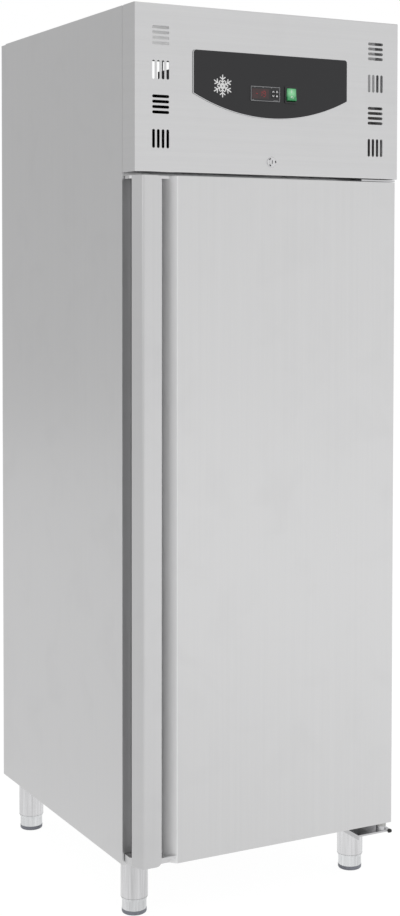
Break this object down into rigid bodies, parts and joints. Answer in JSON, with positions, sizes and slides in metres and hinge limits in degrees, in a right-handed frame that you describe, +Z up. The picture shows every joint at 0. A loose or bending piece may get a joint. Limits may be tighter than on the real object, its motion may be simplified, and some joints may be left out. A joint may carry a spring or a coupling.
{
  "type": "upright commercial refrigerator",
  "caption": "Upright stainless steel commercial refrigerator with a hinged full height door, a folded grip channel, a top machine housing with vents and controls, and screw feet.",
  "frame": {"origin": "on the floor, at the centre of the whole outline seen from above", "axes": "+Z up, +X to the right seen from the front, +Y towards the back; the door is at -Y"},
  "size_m": [0.68, 0.8186, 2.03],
  "materials": {
    "steel": "satin",
    "galvanised": "satin",
    "chrome": "polished",
    "grey_plastic": "matte",
    "black_plastic": "satin",
    "charcoal_plastic": "satin",
    "display_window": "gloss",
    "key_plastic": "matte",
    "green_plastic": "gloss",
    "foam": "matte",
    "gasket_rubber": "matte",
    "aluminium": "satin",
    "black_metal": "satin",
    "copper": "satin"
  },
  "bodies": {
    "cabinet": {"bottom_panel": "steel", "breaker_frame": "grey_plastic", "cable_gland": "black_plastic", "compressor": "black_metal", "compressor_grommets": "gasket_rubber", "condenser_coil": "aluminium", "condenser_fan_motor": "black_metal", "condenser_shroud": "galvanised", "drain_pipe": "grey_plastic", "drip_tray": "aluminium", "electrical_box": "grey_plastic", "evaporator_coil": "aluminium", "evaporator_cover": "aluminium", "evaporator_fan_motor": "black_metal", "filter_drier": "copper", "hinge_bracket_bottom": "steel", "hinge_bracket_top": "steel", "inner_liner": "steel", "insulation": "foam", "leg_tubes": "steel", "machine_deck": "steel", "panel_hinges": "steel", "rack_uprights": "steel", "rear_guard": "steel", "rear_panel": "galvanised", "refrigerant_pipes": "copper", "shelf_1": "steel", "shelf_2": "steel", "shelf_3": "steel", "shelf_runners": "steel", "side_panel_left": "steel", "side_panel_right": "steel", "top_cover": "steel", "unit_base": "galvanised"},
    "door": {"door_skin": "steel", "door_pan": "steel", "door_foam": "foam", "door_gasket": "gasket_rubber", "handle_channel": "steel", "handle_caps": "steel", "hinge_bushes": "grey_plastic"},
    "machine_panel": {"front_panel": "steel", "fascia_plate": "charcoal_plastic", "controller_body": "black_plastic", "controller_window": "display_window", "switch_bezel": "black_plastic", "lock_body": "chrome"},
    "lock_barrel": {"lock_plug": "chrome", "lock_cam": "galvanised"},
    "rocker": {"switch_rocker": "green_plastic"},
    "evaporator_fan": {"evaporator_fan": "black_plastic"},
    "condenser_fan": {"condenser_fan": "aluminium"},
    "key_up": {"key_up": "key_plastic"},
    "key_set": {"key_set": "key_plastic"},
    "key_down": {"key_down": "key_plastic"},
    "key_defrost": {"key_defrost": "key_plastic"},
    "foot_front_left": {"foot_front_left": "steel"},
    "foot_front_right": {"foot_front_right": "steel"},
    "foot_back_left": {"foot_back_left": "steel"},
    "foot_back_right": {"foot_back_right": "steel"}
  },
  "joints": [
    {"name": "door_hinge", "type": "hinge", "parent": "cabinet", "child": "door", "pos_m": [0.318, -0.38066, 0.898], "axis": [0, 0, 1], "range_deg": [0, 110]},
    {"name": "panel_hinge", "type": "hinge", "parent": "cabinet", "child": "machine_panel", "pos_m": [0, -0.34426, 2.022], "axis": [-1, 0, 0], "range_deg": [0, 80]},
    {"name": "lock_turn", "type": "hinge", "parent": "machine_panel", "child": "lock_barrel", "pos_m": [0, -0.38566, 1.696], "axis": [0, 1, 0], "range_deg": [0, 90]},
    {"name": "rocker_tilt", "type": "hinge", "parent": "machine_panel", "child": "rocker", "pos_m": [0.0485, -0.40016, 1.849], "axis": [1, 0, 0], "range_deg": [0, 14]},
    {"name": "evaporator_fan_spin", "type": "hinge", "parent": "cabinet", "child": "evaporator_fan", "pos_m": [0, -0.23566, 1.553], "axis": [0, 1, 0], "continuous": true},
    {"name": "condenser_fan_spin", "type": "hinge", "parent": "cabinet", "child": "condenser_fan", "pos_m": [0, -0.18566, 1.798], "axis": [0, 1, 0], "continuous": true},
    {"name": "key_up_press", "type": "slide", "parent": "machine_panel", "child": "key_up", "axis": [0, 1, 0], "range_m": [0, 0.0006], "stiffness_N_per_m": 400, "springref_m": -0.0005},
    {"name": "key_set_press", "type": "slide", "parent": "machine_panel", "child": "key_set", "axis": [0, 1, 0], "range_m": [0, 0.0006], "stiffness_N_per_m": 400, "springref_m": -0.0005},
    {"name": "key_down_press", "type": "slide", "parent": "machine_panel", "child": "key_down", "axis": [0, 1, 0], "range_m": [0, 0.0006], "stiffness_N_per_m": 400, "springref_m": -0.0005},
    {"name": "key_defrost_press", "type": "slide", "parent": "machine_panel", "child": "key_defrost", "axis": [0, 1, 0], "range_m": [0, 0.0006], "stiffness_N_per_m": 400, "springref_m": -0.0005},
    {"name": "foot_front_left_screw", "type": "slide", "parent": "cabinet", "child": "foot_front_left", "axis": [0, 0, -1], "range_m": [0, 0.05]},
    {"name": "foot_front_right_screw", "type": "slide", "parent": "cabinet", "child": "foot_front_right", "axis": [0, 0, -1], "range_m": [0, 0.05]},
    {"name": "foot_back_left_screw", "type": "slide", "parent": "cabinet", "child": "foot_back_left", "axis": [0, 0, -1], "range_m": [0, 0.05]},
    {"name": "foot_back_right_screw", "type": "slide", "parent": "cabinet", "child": "foot_back_right", "axis": [0, 0, -1], "range_m": [0, 0.05]}
  ]
}
